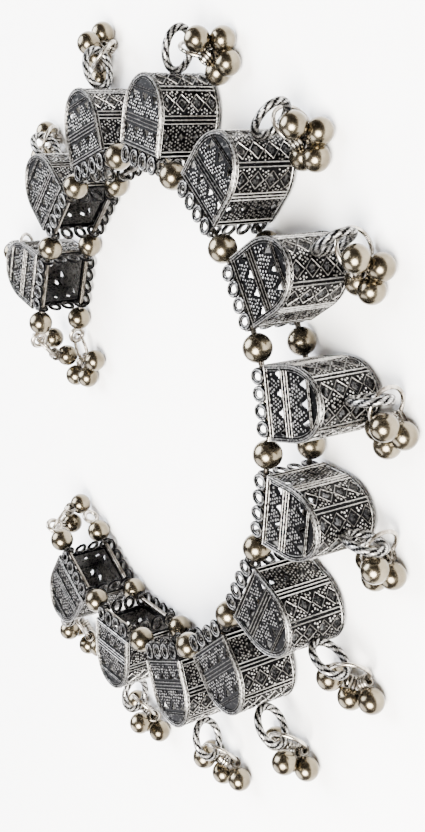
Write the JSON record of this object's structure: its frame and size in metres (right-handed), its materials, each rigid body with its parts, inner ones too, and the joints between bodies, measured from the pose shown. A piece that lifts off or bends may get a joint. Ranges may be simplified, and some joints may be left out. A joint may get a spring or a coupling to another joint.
{
  "type": "bangle",
  "caption": "Open cuff bangle of hollow vaulted box links strung on two stiff wires between polished balls, with bunches of small bells on the links' crown loops.",
  "frame": {"origin": "middle of the bottom of the bangle as it lies on its side", "axes": "+Z is the wrist axis, up; +X points away from the opening; +Y is along the longer way across"},
  "size_m": [0.1044, 0.1236, 0.0118],
  "materials": {
    "oxidised_silver": "cast and pierced, blackened in the recesses and rubbed bright on the raised lines",
    "polished_silver": "polished, warm grey",
    "ring_silver": "tumbled, dull in the grooves"
  },
  "bodies": {
    "root": {"link_01": "oxidised_silver", "link_02": "oxidised_silver", "link_03": "oxidised_silver", "link_04": "oxidised_silver", "link_05": "oxidised_silver", "link_06": "oxidised_silver", "link_07": "oxidised_silver", "link_08": "oxidised_silver", "link_09": "oxidised_silver", "link_10": "oxidised_silver", "link_11": "oxidised_silver", "link_12": "oxidised_silver", "link_13": "oxidised_silver", "front_string": "polished_silver", "back_string": "polished_silver", "bells_01": "ring_silver", "bells_02": "ring_silver", "bells_03": "ring_silver", "bells_04": "ring_silver", "bells_05": "ring_silver", "bells_06": "ring_silver", "bells_07": "ring_silver", "bells_08": "ring_silver", "bells_09": "ring_silver", "bells_10": "ring_silver", "bells_11": "ring_silver", "bells_12": "ring_silver", "bells_13": "ring_silver", "bells_upper_front": "ring_silver", "bells_upper_back": "ring_silver", "bells_lower_front": "ring_silver"}
  },
  "joints": []
}
